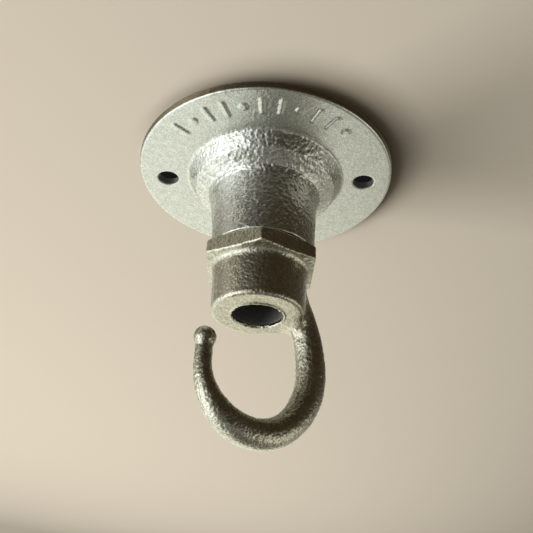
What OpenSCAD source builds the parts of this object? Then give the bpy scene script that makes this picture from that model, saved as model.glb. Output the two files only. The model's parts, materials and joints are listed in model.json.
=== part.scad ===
// Ceiling hook on a round dome cover for a conduit box.
// The origin is the centre of the cover's back face, +Z points into the ceiling,
// the two fixing holes lie along X, and the hook hangs towards -Z.

/* [Cover plate] */
// Outside diameter of the round cover plate
plate_d = 65; // [60:0.5:80]
// Thickness of the plate at its rim
plate_t = 2.1; // [1.6:0.1:3]
// Distance between the centres of the two fixing holes
hole_spacing = 50.8; // [49:0.1:53]
// Diameter of each fixing hole
hole_d = 5.2; // [4.2:0.1:6]

/* [Dome and neck] */
// Diameter of the dome where its fillet meets the plate
dome_d = 40.2; // [38:0.1:42]
// Depth of the dome below the cover's back face
dome_h = 8.3; // [7:0.1:10]
// Outside diameter of the neck at its lower end
neck_d = 25.4; // [25:0.1:26]
// Depth of the neck's rim below the cover's back face
neck_h = 25.3; // [24:0.1:28]

/* [Screw joint] */
// Diameter of the spigot, the pitch cylinder of its thread
spigot_d = 19.0; // [18.8:0.1:19.2]
// Radial clearance between the spigot and the neck's bore
screw_gap = 0.06; // [0.02:0.01:0.1]
// Length of the spigot above the hexagon
spigot_len = 11.5; // [8:0.5:13]
// Space between the neck's rim and the hexagon, a quarter turn short of tight
rim_gap = 0.38; // [0.2:0.02:1]

/* [Hook body] */
// Width of the hexagon across its flats
hex_af = 25.4; // [24:0.1:27]
// Height of the hexagon
hex_h = 4.25; // [3.5:0.05:5]
// Diameter of the round barrel just below the hexagon
barrel_d = 22.4; // [21:0.1:23]
// Depth of the barrel's lower face below the cover's back face
barrel_z = 41.4; // [40:0.1:43]
// Diameter of the cable passage through the hook body
cable_d = 11.8; // [9:0.1:12]
// Direction of the hook's plane round the vertical axis, in degrees from +X
hook_az = 33.7; // [0:0.1:60]

/* [Hook arm] */
// Radius of the round bar of the hook's arm
arm_r = 3.45; // [3:0.05:3.8]
// Radius of the bar just before the ball tip
tip_r = 1.88; // [1.5:0.02:2.4]
// Radius of the ball tip
ball_r = 2.45; // [2.3:0.05:3]
// Centre-line radius of the bowl on the tip side
bowl_r = 13.23; // [12.5:0.01:13.6]
// Centre-line radius of the bowl on the shank side
heel_r = 17.88; // [16:0.01:19]
// Centre-line radius where the shank bends into the bowl
shank_r = 33; // [30:0.5:36]
// Farthest distance of the centre-line from the vertical axis
reach = 15.13; // [14.8:0.01:15.4]
// Depth of that farthest point below the cover's back face
reach_z = 52.3; // [51:0.1:53]

/* [Cast marks] */
// Number of small raised foundry bars on the plate
mark_count = 11; // [3:1:13]
// Radius of the arc the bars stand on
mark_ring_r = 27.1; // [25:0.1:28]
// Angle from one bar to the next
mark_step = 9.2; // [7:0.1:11]
// Height of each bar above the plate's face
mark_h = 0.35; // [0.2:0.05:0.6]

/* [Hidden] */
$fn = 96;
iron = [0.66, 0.66, 0.60];
zinc = [0.62, 0.60, 0.53];

plate_r = plate_d / 2;
neck_r = neck_d / 2;
bore_r = spigot_d / 2 + screw_gap;
hollow_r = dome_d / 2 - 3.8;
hex_top = -neck_h - rim_gap;
hex_bot = hex_top - hex_h;
hex_r = hex_af / 2 / cos(30);
spigot_top = hex_top + spigot_len;

// Centre-line of the arm, as [length, turn in degrees] from the top of the shank down to the ball.
shank_tilt = 35.5;
heel_turn = 45.5;
bowl_turn = 179.5;
shank_len = 0.5;
bend_len = shank_r * shank_tilt * PI / 180;
heel_len = heel_r * heel_turn * PI / 180;
bowl_len = bowl_r * (bowl_turn - heel_turn) * PI / 180;
nose_len = 5.35;
s1 = shank_len;
s2 = s1 + bend_len;
s3 = s2 + heel_len;
s4 = s3 + bowl_len;
s5 = s4 + nose_len;
// Arc centres in the hook's plane, as [distance from the axis, height]
c_bend = [reach - shank_r, -reach_z];
c_heel = [reach - heel_r, -reach_z];
c_bowl = c_heel + (heel_r - bowl_r) * [cos(heel_turn), -sin(heel_turn)];

function on_arc(c, r, a) = c + r * [cos(a), -sin(a)];
// Point of the centre-line at arc length s, then its heading angle (0 points straight down)
function centre(s) =
    s < s1 ? on_arc(c_bend, shank_r, -shank_tilt) + (s1 - s) * [-sin(shank_tilt), cos(shank_tilt)]
  : s < s2 ? on_arc(c_bend, shank_r, -shank_tilt + (s - s1) / shank_r * 180 / PI)
  : s < s3 ? on_arc(c_heel, heel_r, (s - s2) / heel_r * 180 / PI)
  : s < s4 ? on_arc(c_bowl, bowl_r, heel_turn + (s - s3) / bowl_r * 180 / PI)
  : on_arc(c_bowl, bowl_r, bowl_turn) + (s - s4) * [-sin(bowl_turn), -cos(bowl_turn)];
function heading(s) =
    s < s1 ? -shank_tilt
  : s < s2 ? -shank_tilt + (s - s1) / shank_r * 180 / PI
  : s < s3 ? (s - s2) / heel_r * 180 / PI
  : s < s4 ? heel_turn + (s - s3) / bowl_r * 180 / PI
  : bowl_turn;
// The bar keeps its radius round the heel, then narrows smoothly to the tip
taper_from = s3 + 7.7;
taper_to = s5 - 4.6;
function ease(t) = t <= 0 ? 0 : t >= 1 ? 1 : t * t * (3 - 2 * t);
function bar_r(s) = arm_r + (tip_r - arm_r) * ease((s - taper_from) / (taper_to - taper_from));

stations = 60;
sides = 20;
arm_points = [
    for (i = [0:stations]) let (
        s = s5 * i / stations, p = centre(s), h = heading(s), r = bar_r(s))
        for (k = [0:sides - 1]) let (a = 360 * k / sides)
            [p[0] + r * cos(a) * cos(h), r * sin(a), p[1] - r * cos(a) * sin(h)]
];
arm_faces = concat(
    [[for (k = [sides - 1:-1:0]) k]],
    [for (i = [0:stations - 1], k = [0:sides - 1]) let (
        a = i * sides + k, b = i * sides + (k + 1) % sides)
        [a, b, b + sides, a + sides]],
    [[for (k = [0:sides - 1]) stations * sides + k]]
);

// Round cover: plate, hollow dome and tapped neck in one casting
module dome_cover() color(iron) difference() {
    union() {
        rotate_extrude() polygon(concat(
            [[0, 0], [plate_r, 0], [plate_r, -plate_t + 0.45], [plate_r - 0.4, -plate_t]],
            // fillet from the plate up on to the dome
            [for (a = [0:11:55]) [dome_d / 2 - 0.8 * sin(a), -plate_t - 0.8 * (1 - cos(a))]],
            // steep shoulder, shallower slope, then a narrow step against the neck
            [[dome_d / 2 - 0.85, -plate_t - 0.9], [neck_r + 5, -dome_h + 3.05],
             [neck_r + 4, -dome_h + 2.1], [neck_r + 2.3, -dome_h + 0.5], [neck_r + 1.45, -dome_h]],
            // neck, drafted towards its rim
            [[neck_r + 0.9, -dome_h - 1.2], [neck_r + 0.45, -dome_h - 4.7], [neck_r, -neck_h + 5]],
            // rounded rim of the neck
            [for (a = [0:30:90]) [neck_r - 0.9 + 0.9 * cos(a), -neck_h + 0.9 - 0.9 * sin(a)]],
            [[0, -neck_h]]
        ));
        for (i = [0:mark_count - 1]) rotate(270 + (i - (mark_count - 1) / 2) * mark_step)
            translate([mark_ring_r, 0, -plate_t - mark_h])
                linear_extrude(mark_h + 0.5) square([i % 3 == 1 ? 2 : 4.8, i % 3 == 1 ? 2 : 1], center = true);
    }
    // hollow of the dome behind the plate
    rotate_extrude() polygon(concat(
        [[0, 1], [hollow_r, 1], [hollow_r, -plate_t + 0.6]],
        [for (a = [15:10:45]) [hollow_r - 2.6 + 2.6 * cos(a), -plate_t + 0.6 - 2.6 * sin(a)]],
        [[bore_r + 0.9, -dome_h + 0.9], [bore_r, -dome_h - 0.6], [bore_r, -12], [0, -12]]
    ));
    // tapped bore of the neck, as its smooth pitch cylinder
    translate([0, 0, -neck_h - 1]) cylinder(r = bore_r, h = neck_h);
    for (x = [-hole_spacing / 2, hole_spacing / 2])
        translate([x, 0, -plate_t - 1]) cylinder(d = hole_d, h = plate_t + 2);
}

// Curved arm with its ball tip, in the plane of X and Z
module arm() {
    polyhedron(points = arm_points, faces = arm_faces, convexity = 6);
    translate([centre(s5)[0], 0, centre(s5)[1]]) sphere(r = ball_r, $fn = 48);
}

// Screwed hook: spigot, hexagon, barrel and arm in one casting
module male_hook() color(zinc) difference() {
    union() {
        translate([0, 0, hex_top - 0.5]) cylinder(d = spigot_d, h = spigot_len + 0.5);
        // hexagon with its upper corners turned back
        intersection() {
            translate([0, 0, hex_bot]) rotate(hook_az) cylinder(r = hex_r, h = hex_h, $fn = 6);
            rotate_extrude() polygon([[0, hex_top], [hex_af / 2 + 0.1, hex_top],
                [hex_r + 0.1, hex_top - 0.95], [hex_r + 0.1, hex_bot], [0, hex_bot]]);
        }
        rotate_extrude() polygon(concat(
            [[0, hex_bot + 1], [barrel_d / 2 + 1, hex_bot + 1], [barrel_d / 2 + 1, hex_bot]],
            [for (a = [0:30:90]) [barrel_d / 2 + 1 - sin(a), hex_bot - 1 + cos(a)]],
            [for (a = [0:30:90]) [barrel_d / 2 - 1.35 + cos(a), -barrel_z + 1 - sin(a)]],
            [[0, -barrel_z]]
        ));
        rotate(hook_az) arm();
    }
    // cable passage
    translate([0, 0, -barrel_z - 1]) cylinder(d = cable_d, h = barrel_z + spigot_top + 2);
}

dome_cover();
male_hook();
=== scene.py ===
import json
import math

import bpy
import numpy as np
from mathutils import Matrix, Vector


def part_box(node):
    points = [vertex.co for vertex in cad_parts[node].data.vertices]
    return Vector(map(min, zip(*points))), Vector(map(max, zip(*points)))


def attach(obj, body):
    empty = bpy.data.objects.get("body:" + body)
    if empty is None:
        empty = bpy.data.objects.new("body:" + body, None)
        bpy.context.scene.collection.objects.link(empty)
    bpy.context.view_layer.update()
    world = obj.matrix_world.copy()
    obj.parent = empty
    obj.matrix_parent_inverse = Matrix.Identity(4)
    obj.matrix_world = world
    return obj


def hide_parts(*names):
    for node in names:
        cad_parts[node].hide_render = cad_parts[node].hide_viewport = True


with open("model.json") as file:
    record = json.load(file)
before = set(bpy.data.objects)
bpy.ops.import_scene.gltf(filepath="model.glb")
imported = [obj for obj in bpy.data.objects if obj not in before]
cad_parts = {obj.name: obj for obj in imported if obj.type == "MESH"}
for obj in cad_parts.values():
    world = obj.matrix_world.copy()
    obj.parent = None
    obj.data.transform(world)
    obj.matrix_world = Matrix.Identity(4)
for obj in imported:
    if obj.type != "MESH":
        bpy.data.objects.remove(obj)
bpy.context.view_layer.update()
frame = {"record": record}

# ---------------------------------------------------------------- frame values, in millimetres
MM = 0.001
c_lo, c_hi = (np.array(v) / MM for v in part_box("dome_cover"))
h_lo, h_hi = (np.array(v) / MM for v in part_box("male_hook"))
mounts = {m["name"]: m for m in frame["record"]["mounts"]}
PLATE_R = float(c_hi[0])
RIM_Z = float(c_lo[2])
TOP_Z = float(h_hi[2])
LOW_Z = float(h_lo[2])
HOLE_X = mounts["box_screws"]["dims"]["spacing_x_mm"] / 2
HOLE_R = mounts["box_screws"]["dims"]["hole_r_mm"]
BORE_R = mounts["cable_bore"]["dims"]["r_mm"]
BARREL_Z = TOP_Z - mounts["cable_bore"]["dims"]["length_mm"]
PLATE_T = 2.1
SPIGOT_R, NECK_BORE_R = 9.5, 9.56
HEX_TOP = RIM_Z - 0.38
HEX_BOT = HEX_TOP - 4.25
HEX_A = 12.7
AZ = math.radians(33.7)
STEP = 0.22


# ---------------------------------------------------------------- numeric helpers
def smin(a, b, k):
    h = np.maximum(k - np.abs(a - b), 0.0) / k
    return np.minimum(a, b) - h * h * k * 0.25


def smax(a, b, k):
    return -smin(-a, -b, k)


def ease(t):
    t = np.clip(t, 0.0, 1.0)
    return t * t * (3 - 2 * t)


AXES = np.array(
    [(a, b, 0) for a in (1, -1) for b in (1, -1)]
    + [(a, 0, b) for a in (1, -1) for b in (1, -1)]
    + [(0, a, b) for a in (1, -1) for b in (1, -1)]
    + [(1, 1, 0), (-1, 1, 0), (0, -1, 1), (0, -1, -1)],
    float,
)


def lattice(ix, iy, iz, seed):
    """One of 16 fixed slopes for each lattice point."""
    h = (
        ix.astype(np.uint32) * np.uint32(374761393)
        + iy.astype(np.uint32) * np.uint32(668265263)
        + iz.astype(np.uint32) * np.uint32(2246822519)
        + np.uint32(seed * 3266489917 % 4294967296)
    )
    h = (h ^ (h >> np.uint32(13))) * np.uint32(1274126177)
    h = (h ^ (h >> np.uint32(16))) * np.uint32(2654435761)
    return AXES[(h >> np.uint32(20)) & np.uint32(15)]


def noise(p, size, seed=0, stretch=(1, 1, 1)):
    """Smooth slope noise in about -1..1, with a lattice size millimetres wide."""
    q = p / (size * np.array(stretch, float)) + 173.0
    i = np.floor(q)
    f = q - i
    w = f * f * f * (f * (f * 6 - 15) + 10)
    i = i.astype(np.int64)
    out = 0.0
    for d in np.ndindex(2, 2, 2):
        g = lattice(i[:, 0] + d[0], i[:, 1] + d[1], i[:, 2] + d[2], seed)
        share = np.prod(np.where(np.array(d) == 1, w, 1 - w), axis=1)
        out = out + share * (g * (f - np.array(d))).sum(1)
    return out * 1.5


def fbm(p, size, seed=0, octaves=3, gain=0.55, stretch=(1, 1, 1)):
    total, amp, norm = 0.0, 1.0, 0.0
    turn = np.array([[0.36, 0.48, -0.8], [-0.8, 0.6, 0.0], [0.48, 0.64, 0.6]])
    for o in range(octaves):
        total = total + amp * noise(p, size, seed + 17 * o, stretch)
        norm += amp
        amp *= gain
        size *= 0.52
        p = p @ turn.T
    return total / norm


def rounded(corners):
    """A closed outline from corners (r, z, fillet radius), with each corner turned into an arc."""
    pts = []
    n = len(corners)
    for i in range(n):
        p = np.array(corners[i][:2], float)
        a = np.array(corners[i - 1][:2], float) - p
        b = np.array(corners[(i + 1) % n][:2], float) - p
        rad = corners[i][2]
        la, lb = np.linalg.norm(a), np.linalg.norm(b)
        a, b = a / la, b / lb
        angle = math.acos(max(-1.0, min(1.0, float(a @ b))))
        if rad <= 0 or angle > math.radians(179):
            pts.append(p)
            continue
        reach = min(rad / math.tan(angle / 2), 0.49 * la, 0.49 * lb)
        rad = reach * math.tan(angle / 2)
        mid = (a + b) / np.linalg.norm(a + b)
        centre = p + mid * rad / math.sin(angle / 2)
        start, end = p + a * reach - centre, p + b * reach - centre
        t0 = math.atan2(start[1], start[0])
        sweep = (math.atan2(end[1], end[0]) - t0 + math.pi) % (2 * math.pi) - math.pi
        steps = max(3, int(abs(sweep) / math.radians(7)))
        for k in range(steps + 1):
            t = t0 + sweep * k / steps
            pts.append(centre + rad * np.array([math.cos(t), math.sin(t)]))
    return np.array(pts)


class Turned:
    """Signed distance to a solid of revolution, from a table over its (r, z) outline."""

    def __init__(self, outline, step=0.06, pad=2.5):
        lo, hi = outline.min(0) - pad, outline.max(0) + pad
        self.lo, self.step = lo, step
        self.n = np.ceil((hi - lo) / step).astype(int) + 1
        r = lo[0] + step * np.arange(self.n[0])
        z = lo[1] + step * np.arange(self.n[1])
        R, Z = np.meshgrid(r, z, indexing="ij")
        best = np.full(R.shape, 1e9)
        inside = np.zeros(R.shape, bool)
        for a, b in zip(outline, np.roll(outline, -1, axis=0)):
            e = b - a
            length = e @ e
            if length < 1e-12:
                continue
            t = np.clip(((R - a[0]) * e[0] + (Z - a[1]) * e[1]) / length, 0, 1)
            best = np.minimum(
                best, (R - a[0] - t * e[0]) ** 2 + (Z - a[1] - t * e[1]) ** 2
            )
            if a[1] != b[1]:
                cross = (a[1] > Z) != (b[1] > Z)
                at = a[0] + (Z - a[1]) / (b[1] - a[1]) * e[0]
                inside ^= cross & (R < at)
        self.table = (np.sqrt(best) * np.where(inside, -1, 1)).astype(np.float32)

    def __call__(self, r, z):
        fr = np.clip((r - self.lo[0]) / self.step, 0, self.n[0] - 1.001)
        fz = np.clip((z - self.lo[1]) / self.step, 0, self.n[1] - 1.001)
        i, j = fr.astype(np.int32), fz.astype(np.int32)
        fr, fz = fr - i, fz - j
        t = self.table
        return (
            t[i, j] * (1 - fr) * (1 - fz)
            + t[i + 1, j] * fr * (1 - fz)
            + t[i, j + 1] * (1 - fr) * fz
            + t[i + 1, j + 1] * fr * fz
        )


def skin_net(field, lo, hi, step):
    """A closed quad mesh of field = 0, one vertex in each grid cell that the surface crosses."""
    n = np.ceil((np.array(hi) - np.array(lo)) / step).astype(int) + 1
    axes = [lo[a] + step * np.arange(n[a]) for a in range(3)]
    v = np.empty(n, np.float32)
    Y, Z = np.meshgrid(axes[1], axes[2], indexing="ij")
    Y, Z = Y.astype(np.float32), Z.astype(np.float32)
    slab = 12
    for i in range(0, n[0], slab):
        xs = axes[0][i : i + slab].astype(np.float32)
        X = np.broadcast_to(xs[:, None, None], (len(xs),) + Y.shape)
        v[i : i + slab] = field(
            X, np.broadcast_to(Y, X.shape), np.broadcast_to(Z, X.shape)
        )
    neg = v < 0
    cells = tuple(m - 1 for m in n)
    count = np.zeros(cells, np.int8)
    for dx in (0, 1):
        for dy in (0, 1):
            for dz in (0, 1):
                count += neg[
                    dx : dx + cells[0], dy : dy + cells[1], dz : dz + cells[2]
                ]
    mixed = (count > 0) & (count < 8)
    idx = np.argwhere(mixed)
    number = np.full(cells, -1, np.int64)
    number[mixed] = np.arange(len(idx))
    corner = {
        (a, b, c): v[idx[:, 0] + a, idx[:, 1] + b, idx[:, 2] + c]
        for a in (0, 1)
        for b in (0, 1)
        for c in (0, 1)
    }
    total, hits = np.zeros((len(idx), 3)), np.zeros(len(idx))
    for axis in range(3):
        for b in (0, 1):
            for c in (0, 1):
                lo_c, hi_c = [b, c], [b, c]
                lo_c.insert(axis, 0)
                hi_c.insert(axis, 1)
                va, vb = corner[tuple(lo_c)], corner[tuple(hi_c)]
                cut = (va < 0) != (vb < 0)
                t = np.where(cut, va / np.where(cut, va - vb, 1), 0)
                p = np.zeros((len(idx), 3))
                p[:, axis] = t
                for other, value in zip([a for a in range(3) if a != axis], (b, c)):
                    p[:, other] = value
                total += np.where(cut[:, None], p, 0)
                hits += cut
    verts = np.array(lo) + step * (idx + total / hits[:, None])
    quads = []
    for axis in range(3):
        o1, o2 = [(1, 2), (2, 0), (0, 1)][axis]
        take = [slice(None)] * 3
        a, b = list(take), list(take)
        a[axis], b[axis] = slice(0, -1), slice(1, None)
        na, nb = neg[tuple(a)], neg[tuple(b)]
        e = np.argwhere(na != nb)
        e = e[
            (e[:, o1] > 0)
            & (e[:, o2] > 0)
            & (e[:, o1] < n[o1] - 1)
            & (e[:, o2] < n[o2] - 1)
        ]
        down = na[tuple(e.T)]

        def cell(d1, d2):
            q = e.copy()
            q[:, o1] -= d1
            q[:, o2] -= d2
            return number[tuple(q.T)]

        ring = np.stack([cell(1, 1), cell(0, 1), cell(0, 0), cell(1, 0)], 1)
        quads.append(np.where(down[:, None], ring, ring[:, ::-1]))
    return verts, np.concatenate(quads)


def slope(field, p, h=0.02):
    g = np.empty_like(p)
    for a in range(3):
        d = np.zeros(3)
        d[a] = h
        up, dn = p + d, p - d
        g[:, a] = field(up[:, 0], up[:, 1], up[:, 2]) - field(
            dn[:, 0], dn[:, 1], dn[:, 2]
        )
    return g / (2 * h)


def settle(field, p, limit, rounds=3):
    """Moves each vertex on to the true surface and returns it with its outward normal."""
    for _ in range(rounds):
        g = slope(field, p)
        f = field(p[:, 0], p[:, 1], p[:, 2])
        step = (f / np.maximum((g * g).sum(1), 0.2))[:, None] * g
        size = np.linalg.norm(step, axis=1, keepdims=True)
        p = p - step * np.minimum(1, limit / np.maximum(size, 1e-9))
    g = slope(field, p, 0.08)
    return p, g / np.maximum(np.linalg.norm(g, axis=1, keepdims=True), 1e-9)


def mesh_object(name, verts, quads, marks):
    me = bpy.data.meshes.new(name)
    me.vertices.add(len(verts))
    me.vertices.foreach_set("co", (verts * MM).astype(np.float32).ravel())
    me.loops.add(quads.size)
    me.loops.foreach_set("vertex_index", quads.astype(np.int32).ravel())
    me.polygons.add(len(quads))
    me.polygons.foreach_set("loop_start", (np.arange(len(quads)) * 4).astype(np.int32))
    me.polygons.foreach_set("use_smooth", np.ones(len(quads), bool))
    me.update(calc_edges=True)
    for key, values in marks.items():
        at = me.attributes.new(key, "FLOAT", "POINT")
        at.data.foreach_set("value", values.astype(np.float32))
    me.validate()
    ob = bpy.data.objects.new(name, me)
    bpy.context.scene.collection.objects.link(ob)
    return ob


# ---------------------------------------------------------------- dome cover
cover_outline = rounded(
    [
        (16.6, 0.0, 0.35),
        (PLATE_R, 0.0, 0.25),
        (PLATE_R - 0.1, -PLATE_T, 0.6),
        (19.75, -PLATE_T, 1.3),
        (19.2, -3.2, 1.2),
        (17.7, -5.9, 1.3),
        (15.2, -7.4, 0.9),
        (14.15, -8.2, 0.25),
        (13.55, -9.5, 1.6),
        (13.1, -13.4, 8.0),
        (12.7, -19.6, 12.0),
        (12.55, RIM_Z, 0.38),
        (NECK_BORE_R, RIM_Z, 0.3),
        (NECK_BORE_R, -9.3, 0.6),
        (10.7, -7.5, 1.5),
        (15.6, -2.6, 2.4),
    ]
)
cover_turned = Turned(cover_outline)


MARK_R, MARK_STEP, MARK_H, MARK_COUNT = 27.1, math.radians(9.2), 0.28, 11


def mark_shape(t, q, i):
    """Plain raised bars and round pips in turn, t along the arc and q outwards, in millimetres."""
    if i % 3 == 1:
        return np.hypot(t, q) - 1.0
    return np.hypot(t, np.maximum(np.abs(q) - 1.9, 0)) - 0.52


def cover_field(x, y, z):
    r = np.hypot(x, y)
    # the outside of the neck was cast a little to one side of its thread
    off = 0.35 * ease((-10.0 - z) / 10.0) * ease((r - 10.2) / 1.5)
    d = cover_turned(np.hypot(x - off, y), z).astype(np.float64)
    for s in (-1, 1):
        d = smax(d, HOLE_R - np.hypot(x - s * HOLE_X, y), 0.45)
    near = (z < -PLATE_T + 0.6) & (z > -PLATE_T - 1.2) & (y < -10) & (r > 23)
    if near.any():
        xn, yn, zn = x[near], y[near], z[near]
        dn = d[near]
        ang = np.arctan2(xn, -yn)
        q = np.hypot(xn, yn) - MARK_R
        for i in range(MARK_COUNT):
            t = (ang - (i - (MARK_COUNT - 1) / 2) * MARK_STEP) * MARK_R
            flat = mark_shape(t, q, i)
            raised = smax(flat, np.abs(zn + PLATE_T) - MARK_H, 0.5)
            dn = smin(dn, raised, 0.42)
        d[near] = dn
    # thread of the neck, showing above the end of the spigot
    near = (r < 10.6) & (r > 8.6) & (z > -15.5) & (z < -9.0)
    if near.any():
        xn, yn, zn = x[near], y[near], z[near]
        ph = (zn / 1.5 - np.arctan2(yn, xn) / (2 * math.pi)) % 1.0
        depth = np.clip((0.5 - np.abs(ph - 0.5)) * 1.9 - 0.3, 0, 0.42)
        depth = depth * ease((zn + 14.6) / 0.5) * ease((-9.3 - zn) / 0.6)
        d[near] = smax(d[near], NECK_BORE_R + depth - np.hypot(xn, yn), 0.08)
    return d


# ---------------------------------------------------------------- screwed hook
REACH, REACH_Z = 15.13, -52.3
SHANK_R, HEEL_R, BOWL_R = 33.0, 17.88, 13.23
TILT, HEEL_T, BOWL_T, NOSE = 35.5, 45.5, 179.5, 5.35
C_BEND = np.array([REACH - SHANK_R, REACH_Z])
C_HEEL = np.array([REACH - HEEL_R, REACH_Z])
C_BOWL = C_HEEL + (HEEL_R - BOWL_R) * np.array(
    [math.cos(math.radians(HEEL_T)), -math.sin(math.radians(HEEL_T))]
)
S1 = 0.5
S2 = S1 + SHANK_R * math.radians(TILT)
S3 = S2 + HEEL_R * math.radians(HEEL_T)
S4 = S3 + BOWL_R * math.radians(BOWL_T - HEEL_T)
S5 = S4 + NOSE
NOSE_A = C_BOWL + BOWL_R * np.array(
    [math.cos(math.radians(BOWL_T)), -math.sin(math.radians(BOWL_T))]
)
NOSE_D = np.array([-math.sin(math.radians(BOWL_T)), -math.cos(math.radians(BOWL_T))])
BALL = NOSE_A + NOSE * NOSE_D
BAR_S = np.array([0.0, 10.0, 20.0, 26.0, 36.0, 46.0, 52.0, 56.0, 60.0, 64.0, S5])
BAR_R = np.array([3.2, 3.3, 3.56, 3.6, 3.38, 3.34, 3.2, 2.86, 2.38, 2.02, 1.84])
_s = np.linspace(0, S5, 400)
_r = np.interp(_s, BAR_S, BAR_R)
for _ in range(3):  # soften the corners of the taper
    _r[9:-9] = np.convolve(_r, np.ones(19) / 19, "valid")

hook_turned = Turned(
    rounded(
        [
            (0.0, TOP_Z, 0),
            (SPIGOT_R - 0.8, TOP_Z, 0.2),
            (SPIGOT_R, TOP_Z - 0.8, 0.3),
            (SPIGOT_R, HEX_TOP + 0.1, 0.2),
            (9.0, HEX_TOP - 0.8, 0),
            (9.0, HEX_TOP - 1.0, 0),
            (11.3, HEX_TOP - 1.0, 0),
            (11.25, HEX_BOT, 0),
            (10.9, BARREL_Z, 0.95),
            (0.0, BARREL_Z, 0),
        ]
    )
)


def arm_field(u, v, z):
    best = None
    for c, rad, a0, a1, s0 in (
        (C_BEND, SHANK_R, -TILT, 0.0, S1),
        (C_HEEL, HEEL_R, 0.0, HEEL_T, S2),
        (C_BOWL, BOWL_R, HEEL_T, BOWL_T, S3),
    ):
        a = np.degrees(np.arctan2(-(z - c[1]), u - c[0]))
        a = np.where(a < -120, a + 360, a)
        a = np.clip(a, a0, a1)
        t = np.radians(a)
        pu, pz = c[0] + rad * np.cos(t), c[1] - rad * np.sin(t)
        s = s0 + rad * np.radians(a - a0)
        d = np.sqrt((u - pu) ** 2 + (z - pz) ** 2 + v * v) - np.interp(s, _s, _r)
        best = d if best is None else np.minimum(best, d)
    t = np.clip((u - NOSE_A[0]) * NOSE_D[0] + (z - NOSE_A[1]) * NOSE_D[1], 0, NOSE)
    pu, pz = NOSE_A[0] + t * NOSE_D[0], NOSE_A[1] + t * NOSE_D[1]
    d = np.sqrt((u - pu) ** 2 + (z - pz) ** 2 + v * v) - np.interp(S4 + t, _s, _r)
    best = np.minimum(best, d)
    ball = np.sqrt((u - BALL[0]) ** 2 + (z - BALL[1]) ** 2 + v * v) - 2.44
    return smin(best, ball, 0.8)


def hook_field(x, y, z):
    ca, sa = math.cos(AZ), math.sin(AZ)
    u, v = x * ca + y * sa, y * ca - x * sa
    r = np.hypot(x, y)
    d = hook_turned(r, z).astype(np.float64)
    # hexagon, a corner on the parting plane
    n1 = np.abs(v)
    n2 = np.abs(u * math.cos(math.radians(30)) + v * 0.5)
    n3 = np.abs(u * math.cos(math.radians(30)) - v * 0.5)
    hexa = smax(smax(n1, n2, 0.5), n3, 0.5) - HEX_A - 0.02
    cone = (r - 13.55) * 0.5 + (z - HEX_TOP) * 0.866
    hexa = smax(hexa, np.maximum(cone, z - HEX_TOP), 0.3)
    under = (HEX_BOT - z) * 0.99 + (r - 12.0) * 0.11
    hexa = smax(hexa, under, 0.55)
    d = smin(d, hexa, 1.6)
    # spigot stays clean of that blend
    d = np.where(z > HEX_TOP + 0.02, np.maximum(d, r - SPIGOT_R), d)
    arm = arm_field(u, v, z)
    d = smin(d, arm, 3.0)
    lip = np.hypot(r - BORE_R - 0.36, z - BARREL_Z + 0.05) - 0.24
    d = smin(d, lip, 0.25)
    bore = np.maximum(r - BORE_R, BARREL_Z - 1.2 - z)
    return smax(d, -bore, 0.3)


# ---------------------------------------------------------------- build both castings
def build_cover():
    pad = 0.9
    lo = (-PLATE_R - pad, -PLATE_R - pad, RIM_Z - pad)
    hi = (PLATE_R + pad, PLATE_R + pad, pad)
    p, quads = skin_net(cover_field, lo, hi, STEP)
    p, n = settle(cover_field, p, STEP)
    r = np.hypot(p[:, 0], p[:, 1])
    z = p[:, 2]
    inside = (r < NECK_BORE_R + 1.0) & (z > RIM_Z + 0.4) & (z < -8.6)
    back = (z > -0.6) | ((r < 17.2) & (n[:, 2] > 0.2)) | ((r < 16.9) & (z > -3))
    plate = ease((r - 19.6) / 1.2) * ease((-n[:, 2] - 0.2) / 0.5)
    rim = ease((r - 31.6) / 0.5)
    wall = ease((20.6 - r) / 1.0)
    hole = np.hypot(np.abs(p[:, 0]) - HOLE_X, p[:, 1]) < HOLE_R + 0.32
    # painted shade: the screw hole walls are fully darkened and the inside of the neck bore partly, where little
    # light reaches
    painted_hole_shade = np.where(hole & (z > -PLATE_T + 0.12), 1.0, 0.0)
    painted_hole_shade = np.maximum(painted_hole_shade, np.where(inside & (r < NECK_BORE_R + 0.6), 0.7, 0.0))
    ripple = fbm(p, 0.74, 3, 3, 0.6, (1.15, 1.15, 0.9))
    dimple = fbm(p, 1.9, 31, 2, 0.5)
    broad = fbm(p, 7.0, 5, 2, 0.5)
    grain = fbm(p, 0.5, 12, 2, 0.6)
    scuffed = np.exp(-(((p[:, 0] - 3) / 8.5) ** 2) - ((p[:, 1] + 25.5) / 5.0) ** 2)
    neck = ease((-9.5 - z) / 4.0)
    h = wall * ((0.135 - 0.04 * neck) * ripple + 0.05 * dimple) + (0.03 + 0.018 * wall) * grain * (1 - rim * 0.4)
    h = h + plate * (0.008 * ripple + 0.02 * broad + 0.06 * scuffed * ripple)
    h = h + rim * 0.045 * dimple
    h = np.where(back, 0.05 * ripple + 0.02 * grain, h)
    h = np.where(inside, 0.0, h)
    q = p + n * h[:, None]
    rr = np.hypot(q[:, 0], q[:, 1])
    pull = np.minimum(1, PLATE_R / np.maximum(rr, 1e-6))
    q[:, :2] *= pull[:, None]
    q[:, 2] = np.minimum(q[:, 2], 0.0)
    q[:, 2] = np.maximum(q[:, 2], RIM_Z)
    return mesh_object(
        "cover_casting",
        q,
        quads,
        {
            "skin": h / 0.1,
            "plate": plate * (1 - rim),
            "painted_hole_shade": painted_hole_shade,
            "rust": ease((r - 31.9) / 0.5) * ease((0.5 - np.abs(n[:, 2])) / 0.4),
        },
    )


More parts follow.
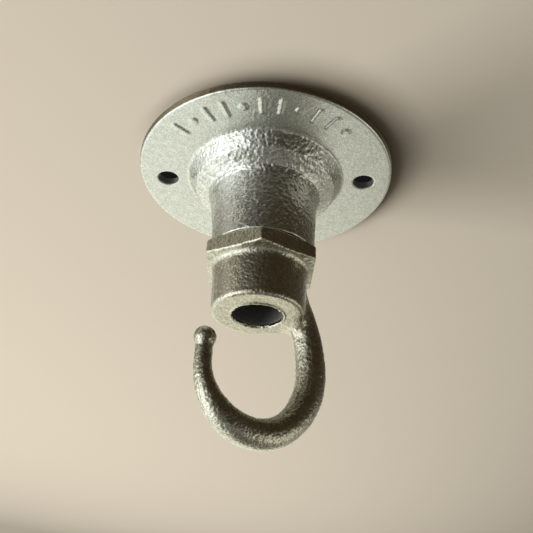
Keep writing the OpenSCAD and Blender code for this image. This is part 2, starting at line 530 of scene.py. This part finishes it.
def build_hook():
    pad = 0.9
    lo = (h_lo[0] - pad, h_lo[1] - pad, LOW_Z - pad)
    hi = (h_hi[0] + pad, h_hi[1] + pad, TOP_Z + pad)
    p, quads = skin_net(hook_field, lo, hi, STEP * 0.86)
    p, n = settle(hook_field, p, STEP)
    x, y, z = p.T
    ca, sa = math.cos(AZ), math.sin(AZ)
    v = y * ca - x * sa
    r = np.hypot(x, y)
    ripple = fbm(p, 0.7, 43, 3, 0.62)
    dimple = fbm(p, 1.5, 47, 2, 0.5)
    grain = fbm(p, 0.45, 52, 2, 0.6)
    broad = fbm(p, 5.0, 45, 2, 0.5)
    hexa = ease((z - HEX_BOT + 0.6) / 0.6)
    edge = np.exp(-(((z - HEX_BOT) / 0.3) ** 2)) * ease((r - 12.3) / 0.4)
    arm = ease((BARREL_Z + 1.0 - z) / 1.5)
    bore = (r < BORE_R + 0.25) & (z > BARREL_Z + 0.3)
    clean = (z > HEX_TOP - 0.1) & (r < SPIGOT_R + 0.3)
    face = ease((-n[:, 2] - 0.8) / 0.15) * ease((z - BARREL_Z + 0.5) / 0.2)
    # painted shade: darkens the inside of the cable bore, where little light reaches
    painted_hole_shade = np.where(r < BORE_R + 0.12, ease((z - BARREL_Z - 0.3) / 0.8), 0.0)
    h = (0.065 + 0.02 * arm - 0.035 * hexa - 0.03 * face) * ripple
    h = h + (0.055 - 0.01 * face - 0.01 * hexa) * grain
    h = h + (0.02 + 0.02 * arm) * dimple + 0.03 * broad * (0.4 + arm)
    seam = np.exp(-((v / 0.24) ** 2)) * (0.55 + 0.45 * noise(p, 2.2, 71))
    seam = seam * ease((np.abs(n[:, 0] * ca + n[:, 1] * sa) + np.abs(n[:, 2]) * arm - 0.4) / 0.4)
    h = h + 0.07 * seam * (r > BORE_R + 0.8)
    h = h + 0.12 * edge * (noise(p, 1.1, 63) + 0.1)
    burr = np.exp(-(((r - BORE_R - 0.2) / 0.35) ** 2) - ((z - BARREL_Z) / 0.35) ** 2)
    h = h + 0.2 * burr * np.maximum(noise(p, 0.9, 77) + 0.15, 0)
    h = np.where(bore, 0.03 * ripple, h)
    h = np.where(clean, 0.0, h)
    q = p + n * h[:, None]
    q[:, 2] = np.maximum(q[:, 2], LOW_Z)
    return mesh_object(
        "hook_casting",
        q,
        quads,
        {"skin": h / 0.1, "plate": face * 0.8, "painted_hole_shade": painted_hole_shade, "rust": np.zeros(len(h))},
    )


# ---------------------------------------------------------------- materials
def node(nt, kind, where=None, **values):
    n = nt.nodes.new(kind)
    for k, val in values.items():
        if hasattr(n, k):
            setattr(n, k, val)
        else:
            n.inputs[k.replace("_", " ")].default_value = val
    return n


def galvanised(name, light, dark, brown, metallic, rough, speck, face_dirt, bump):
    """Zinc over cast iron: mottled grey, darker and browner in the low spots, with a fine sparkling grain and
    painted shade inside the holes and bores.
    """
    m = bpy.data.materials.new(name)
    m.use_nodes = True
    nt = m.node_tree
    L = nt.links.new
    bsdf = nt.nodes["Principled BSDF"]
    co = node(nt, "ShaderNodeTexCoord")

    def tex(size_mm, detail=3.0, roughness=0.6, distortion=0.0):
        t = node(nt, "ShaderNodeTexNoise")
        t.inputs["Scale"].default_value = 1000.0 / size_mm
        t.inputs["Detail"].default_value = detail
        t.inputs["Roughness"].default_value = roughness
        t.inputs["Distortion"].default_value = distortion
        L(co.outputs["Object"], t.inputs["Vector"])
        return t.outputs["Fac"]

    def ramp(fac, lo, hi, out_lo=0.0, out_hi=1.0):
        r = node(nt, "ShaderNodeMapRange")
        r.interpolation_type = "SMOOTHSTEP"
        r.inputs["From Min"].default_value = lo
        r.inputs["From Max"].default_value = hi
        r.inputs["To Min"].default_value = out_lo
        r.inputs["To Max"].default_value = out_hi
        L(fac, r.inputs["Value"])
        return r.outputs["Result"]

    def mix(fac, a, b, mode="MIX"):
        x = node(nt, "ShaderNodeMix")
        x.data_type = "RGBA"
        x.blend_type = mode
        for sock, val in ((x.inputs[6], a), (x.inputs[7], b)):
            if isinstance(val, tuple):
                sock.default_value = val + (1.0,)
            else:
                L(val, sock)
        if isinstance(fac, float):
            x.inputs[0].default_value = fac
        else:
            L(fac, x.inputs[0])
        return x.outputs[2]

    def math_(op, a, b):
        x = node(nt, "ShaderNodeMath")
        x.operation = op
        for sock, val in zip(x.inputs, (a, b)):
            if isinstance(val, (int, float)):
                sock.default_value = val
            else:
                L(val, sock)
        return x.outputs[0]

    skin = node(nt, "ShaderNodeAttribute", attribute_name="skin").outputs["Fac"]
    plate = node(nt, "ShaderNodeAttribute", attribute_name="plate").outputs["Fac"]
    painted_hole_shade = node(nt, "ShaderNodeAttribute", attribute_name="painted_hole_shade").outputs["Fac"]
    rust = node(nt, "ShaderNodeAttribute", attribute_name="rust").outputs["Fac"]
    mottle = tex(1.3, 4.0, 0.65, 0.3)
    patch = tex(6.0, 3.0, 0.55, 0.8)
    fine = tex(0.26, 2.0, 0.6)
    speckle = tex(0.16, 1.0, 0.5)
    grainy = tex(0.34, 1.0, 0.5)
    pits = tex(0.5, 1.0, 0.4)
    colour = mix(ramp(mottle, 0.3, 0.7), dark, light)
    colour = mix(ramp(patch, 0.5, 0.75, 0.0, 0.14), colour, brown)
    low = ramp(skin, 0.0, -0.7, 0.0, 0.62)
    colour = mix(low, colour, brown)
    colour = mix(ramp(skin, 0.25, 0.9, 0.0, 0.45), colour, (0.95, 0.95, 0.91))
    colour = mix(math_("MULTIPLY", plate, face_dirt), colour, brown)
    colour = mix(ramp(grainy, 0.36, 0.64, 0.42, 0.0), colour, brown)
    colour = mix(math_("MULTIPLY", rust, 0.75), colour, (0.30, 0.22, 0.11))
    colour = mix(ramp(pits, 0.36, 0.26, 0.0, 0.28), colour, (0.14, 0.125, 0.10))
    colour = mix(ramp(fine, 0.28, 0.5, 0.35, 0.0), colour, (0.12, 0.105, 0.08))
    colour = mix(
        math_("MULTIPLY", ramp(speckle, 0.62, 0.72), speck), colour, (0.95, 0.95, 0.92)
    )
    # painted shade: near-black inside the holes and bores, where little light reaches
    colour = mix(math_("MULTIPLY", painted_hole_shade, 0.9), colour, (0.09, 0.094, 0.098))
    L(colour, bsdf.inputs["Base Color"])
    L(ramp(painted_hole_shade, 0.0, 1.0, metallic, 0.35), bsdf.inputs["Metallic"])
    rough_v = ramp(mottle, 0.3, 0.7, rough + 0.05, rough - 0.05)
    rough_v = math_("ADD", rough_v, ramp(fine, 0.3, 0.7, 0.08, -0.04))
    rough_v = math_("ADD", rough_v, math_("MULTIPLY", plate, 0.10))
    rough_v = math_("SUBTRACT", rough_v, ramp(skin, 0.2, 1.0, 0.0, 0.08))
    rough_v = math_("SUBTRACT", rough_v, ramp(speckle, 0.58, 0.7, 0.0, 0.12))
    L(rough_v, bsdf.inputs["Roughness"])
    b1 = node(nt, "ShaderNodeBump")
    b1.inputs["Strength"].default_value = 0.7
    b1.inputs["Distance"].default_value = bump * MM
    L(fine, b1.inputs["Height"])
    b2 = node(nt, "ShaderNodeBump")
    b2.inputs["Strength"].default_value = 0.6
    b2.inputs["Distance"].default_value = bump * 0.5 * MM
    L(speckle, b2.inputs["Height"])
    L(b1.outputs["Normal"], b2.inputs["Normal"])
    L(b2.outputs["Normal"], bsdf.inputs["Normal"])
    return m


zinc_cover = galvanised(
    "zinc_cover", (0.77, 0.78, 0.74), (0.66, 0.67, 0.63), (0.42, 0.39, 0.32), 0.98, 0.16, 0.5, 0.0, 0.05
)
zinc_hook = galvanised(
    "zinc_hook", (0.70, 0.67, 0.56), (0.52, 0.49, 0.40), (0.28, 0.24, 0.16), 0.99, 0.15, 0.6, 0.2, 0.055
)

cover = build_cover()
cover.data.materials.append(zinc_cover)
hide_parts("dome_cover")
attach(cover, "cover")

hook = build_hook()
hook.data.materials.append(zinc_hook)
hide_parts("male_hook")
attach(hook, "hook")


# ---------------------------------------------------------------- stage
def one_sided(name, make):
    """A material seen only from the side its faces point to."""
    m = bpy.data.materials.new(name)
    m.use_nodes = True
    nt = m.node_tree
    nt.nodes.clear()
    out = nt.nodes.new("ShaderNodeOutputMaterial")
    pick = nt.nodes.new("ShaderNodeMixShader")
    geo = nt.nodes.new("ShaderNodeNewGeometry")
    clear = nt.nodes.new("ShaderNodeBsdfTransparent")
    nt.links.new(geo.outputs["Backfacing"], pick.inputs[0])
    nt.links.new(make(nt), pick.inputs[1])
    nt.links.new(clear.outputs[0], pick.inputs[2])
    nt.links.new(pick.outputs[0], out.inputs["Surface"])
    return m


class Num:
    """A number inside a shader, so that a shade can be written as a plain sum."""

    def __init__(self, nt, sock):
        self.nt, self.sock = nt, sock

    def make(self, kind, *terms):
        x = self.nt.nodes.new("ShaderNodeMath")
        x.operation = kind
        for sock, term in zip(x.inputs, terms):
            if isinstance(term, Num):
                self.nt.links.new(term.sock, sock)
            else:
                sock.default_value = float(term)
        return Num(self.nt, x.outputs[0])

    def __add__(self, other):
        return self.make("ADD", self, other)

    def __sub__(self, other):
        return self.make("SUBTRACT", self, other)

    def __mul__(self, other):
        return self.make("MULTIPLY", self, other)

    def __truediv__(self, other):
        return self.make("DIVIDE", self, other)

    def limit(self, lo, hi):
        return self.make("MINIMUM", self.make("MAXIMUM", self, lo), hi)

    def root(self):
        return self.make("SQRT", self)

    def exp(self):
        return self.make("EXPONENT", self)

    def ramp(self, lo, hi, out_lo=0.0, out_hi=1.0):
        r = self.nt.nodes.new("ShaderNodeMapRange")
        r.interpolation_type = "SMOOTHSTEP"
        for key, val in zip(("From Min", "From Max", "To Min", "To Max"), (lo, hi, out_lo, out_hi)):
            r.inputs[key].default_value = val
        self.nt.links.new(self.sock, r.inputs["Value"])
        return Num(self.nt, r.outputs["Result"])


# coefficients of the painted falloff of light across the ceiling
FALLOFF = (0.88, -0.154, 0.055, -0.037, 0.025, -0.012)


def plaster(nt):
    """Plaster with painted light: a falloff of brightness across it, a painted shadow beside the plate and
    painted shade along the line where the plate meets it.
    """
    geo = nt.nodes.new("ShaderNodeNewGeometry")
    split = nt.nodes.new("ShaderNodeSeparateXYZ")
    nt.links.new(geo.outputs["Position"], split.inputs[0])
    x = Num(nt, split.outputs[0]) * 1000.0
    y = Num(nt, split.outputs[1]) * 1000.0
    # painted shadow: a soft dark crescent beside the plate, offset to the right and toward the viewer
    sx, sy = x - 6.0, y + 5.2
    near = ((sx * sx + sy * sy).root() - (PLATE_R - 2.6)).ramp(-7.0, 8.0, 0.27, 1.0)
    r = (x * x + y * y).root()
    # painted shade: a thin dark line along the plate's edge on the side toward the viewer
    front = (y / r).ramp(-0.95, -0.2, 1.0, 0.0)
    painted_edge_shade = (r - PLATE_R).ramp(0.0, 4.0, 0.25, 0.0) * front
    u, v = (x / 100.0).limit(-4.0, 4.0), (y / 100.0).limit(-3.0, 7.0)
    a, b, c, d, e, f = FALLOFF
    # painted light: a smooth falloff of brightness across the ceiling, lighter to the left
    painted_falloff = u * b + v * c + u * u * d + u * v * e + v * v * f + a
    painted_falloff = painted_falloff.limit(0.5, 1.1)
    # far off, painted light cancels the side lamp's falloff so the ceiling stays one tone to its edge
    lx, ly = x / 1000.0 + 2.58, y / 1000.0 - 0.72
    lamp = (lx * lx + ly * ly + 1.17) / 8.34
    painted_levelling = (lamp - 1.0).limit(-0.75, 1.0) * r.ramp(900.0, 1500.0, 0.0, 1.0) + 1.0
    shade = painted_falloff * painted_levelling * (painted_edge_shade * -1.0 + 1.0)
    tone = nt.nodes.new("ShaderNodeCombineXYZ")
    # the painted shadow is a little warmer than the plaster
    for sock, base, warm in zip(tone.inputs, (0.625, 0.568, 0.478), (0.05, 0.01, -0.03)):
        nt.links.new((shade * (near * (1.0 - warm) + warm) * base).sock, sock)
    bsdf = nt.nodes.new("ShaderNodeBsdfDiffuse")
    nt.links.new(tone.outputs[0], bsdf.inputs["Color"])
    return bsdf.outputs[0]


# painted shade: a faint near-black glow standing for the dark inside of the box
def painted_box_shade(nt):
    b = nt.nodes.new("ShaderNodeEmission")
    b.inputs["Color"].default_value = (0.008, 0.008, 0.009, 1)
    return b.outputs[0]


def ring_sheet(name, r_in, r_out, z, steps=128):
    """A flat sheet whose faces point down, with a round hole if r_in is above 0."""
    verts, faces = [], []
    radii = [r_in, r_out] if r_in > 0 else [r_out]
    for rad in radii:
        for k in range(steps):
            a = 2 * math.pi * k / steps
            verts.append((rad * math.cos(a), rad * math.sin(a), z))
    if r_in > 0:
        for k in range(steps):
            j = (k + 1) % steps
            faces.append((k, j, steps + j, steps + k))
    else:
        faces.append(tuple(reversed(range(steps))))
    me = bpy.data.meshes.new(name)
    me.from_pydata(verts, [], faces)
    me.update()
    if me.polygons[0].normal.z > 0:
        me.flip_normals()
    ob = bpy.data.objects.new(name, me)
    bpy.context.scene.collection.objects.link(ob)
    return ob


ceiling = ring_sheet("ceiling", 0.031, 3.0, 0.00006)
ceiling.data.materials.append(one_sided("plaster", plaster))
# a dark sheet behind the plate that stands for the shade inside the box
recess = ring_sheet("box_recess", 0, 0.0305, 0.004)
recess.data.materials.append(one_sided("painted_box_shade", painted_box_shade))
for ob in (ceiling, recess):
    ob.visible_diffuse = ob.visible_glossy = ob.visible_shadow = False
    ob.visible_transmission = False

world = bpy.data.worlds.new("world")
bpy.context.scene.world = world
world.use_nodes = True
nt = world.node_tree
bg = nt.nodes["Background"]


def world_colour():
    L = nt.links.new
    co = nt.nodes.new("ShaderNodeTexCoord")
    path = nt.nodes.new("ShaderNodeLightPath")

    def mix(fac, a, b):
        x = nt.nodes.new("ShaderNodeMix")
        x.data_type = "RGBA"
        for sock, val in ((x.inputs[6], a), (x.inputs[7], b)):
            if isinstance(val, tuple):
                sock.default_value = val + (1.0,)
            else:
                L(val, sock)
        L(fac, x.inputs[0])
        return x.outputs[2]

    # what the metal mirrors: a wide window low on the left, a pale wall beyond the part, and
    # small returns from the right; dark towards the viewer and above
    c = (0.108, 0.078, 0.038)
    total = None
    for direction, sharp, colour in (
        ((-0.90, -0.14, -0.42), 3.8, (0.92, 1.01, 1.04)),
        ((-0.80, -0.50, -0.34), 11.0, (0.88, 0.95, 1.00)),
        ((-0.20, 0.98, 0.05), 3.25, (0.755, 0.785, 0.695)),
        ((0.81, 0.46, -0.36), 9.0, (0.24, 0.255, 0.24)),
        ((-0.36, -0.93, -0.07), 10.0, (0.29, 0.32, 0.33)),
        ((0.89, -0.06, -0.46), 8.5, (0.53, 0.565, 0.515)),
        ((-0.62, -0.14, 0.77), 12.0, (0.42, 0.42, 0.31)),
        ((0.25, -0.53, -0.81), 9.0, (0.19, 0.22, 0.22)),
        ((-0.32, 0.58, -0.75), 7.0, (0.36, 0.41, 0.39)),
    ):
        d = nt.nodes.new("ShaderNodeVectorMath")
        d.operation = "DOT_PRODUCT"
        d.inputs[1].default_value = Vector(direction).normalized()
        L(co.outputs["Generated"], d.inputs[0])
        glow = ((Num(nt, d.outputs["Value"]) - 1.0) * sharp).exp()
        patch = nt.nodes.new("ShaderNodeVectorMath")
        patch.operation = "SCALE"
        patch.inputs[0].default_value = colour
        L(glow.sock, patch.inputs["Scale"])
        join = nt.nodes.new("ShaderNodeVectorMath")
        join.operation = "ADD"
        L(patch.outputs[0], join.inputs[0])
        if total is None:
            join.inputs[1].default_value = c
        else:
            L(total, join.inputs[1])
        total = join.outputs[0]
    # the pale patches have fairly firm edges
    level = nt.nodes.new("ShaderNodeVectorMath")
    level.operation = "DOT_PRODUCT"
    level.inputs[1].default_value = (1 / 3, 1 / 3, 1 / 3)
    L(total, level.inputs[0])
    firm = nt.nodes.new("ShaderNodeVectorMath")
    firm.operation = "SCALE"
    L(total, firm.inputs[0])
    L(Num(nt, level.outputs["Value"]).ramp(0.15, 0.8, 0.42, 1.42).sock, firm.inputs["Scale"])
    c = firm.outputs[0]
    # what lights the plaster, and what the camera sees past it
    c = mix(path.outputs["Is Diffuse Ray"], c, (0.21, 0.192, 0.164))
    c = mix(path.outputs["Is Camera Ray"], c, (0.62, 0.555, 0.455))
    return c


nt.links.new(world_colour(), bg.inputs["Color"])
bg.inputs["Strength"].default_value = 1.0


def area(name, at, aim, size, size_y, power, colour):
    data = bpy.data.lights.new(name, "AREA")
    data.shape = "RECTANGLE"
    data.size, data.size_y = size, size_y
    data.energy = power
    data.color = colour
    ob = bpy.data.objects.new(name, data)
    ob.location = at
    ob.rotation_euler = (Vector(aim) - Vector(at)).to_track_quat("-Z", "Y").to_euler()
    bpy.context.scene.collection.objects.link(ob)
    ob.visible_camera = False
    return ob


key = area("window_key", (-2.58, 0.72, -1.08), (0, 0, 0), 2.60, 1.70, 200.0, (1.0, 0.975, 0.93))
key.visible_glossy = False

# ---------------------------------------------------------------- camera
cam_data = bpy.data.cameras.new("camera")
cam_data.sensor_width = 36.0
cam_data.lens = 669.94 * 36.0 / 533.0
cam_data.clip_start, cam_data.clip_end = 0.005, 20
cam = bpy.data.objects.new("camera", cam_data)
bpy.context.scene.collection.objects.link(cam)
right = Vector((0.99875, 0.02238, 0.04477))
back = Vector((0.04206, -0.86007, -0.50844)).normalized()
right = (right - back * right.dot(back)).normalized()
up = back.cross(right)
turn = Matrix((right, up, back)).transposed()
cam.matrix_world = Matrix.Translation(Vector((8.286, -138.605, -110.089)) * MM) @ turn.to_4x4()
bpy.context.scene.camera = cam

bpy.context.scene.view_settings.view_transform = "Standard"
bpy.context.scene.view_settings.look = "None"
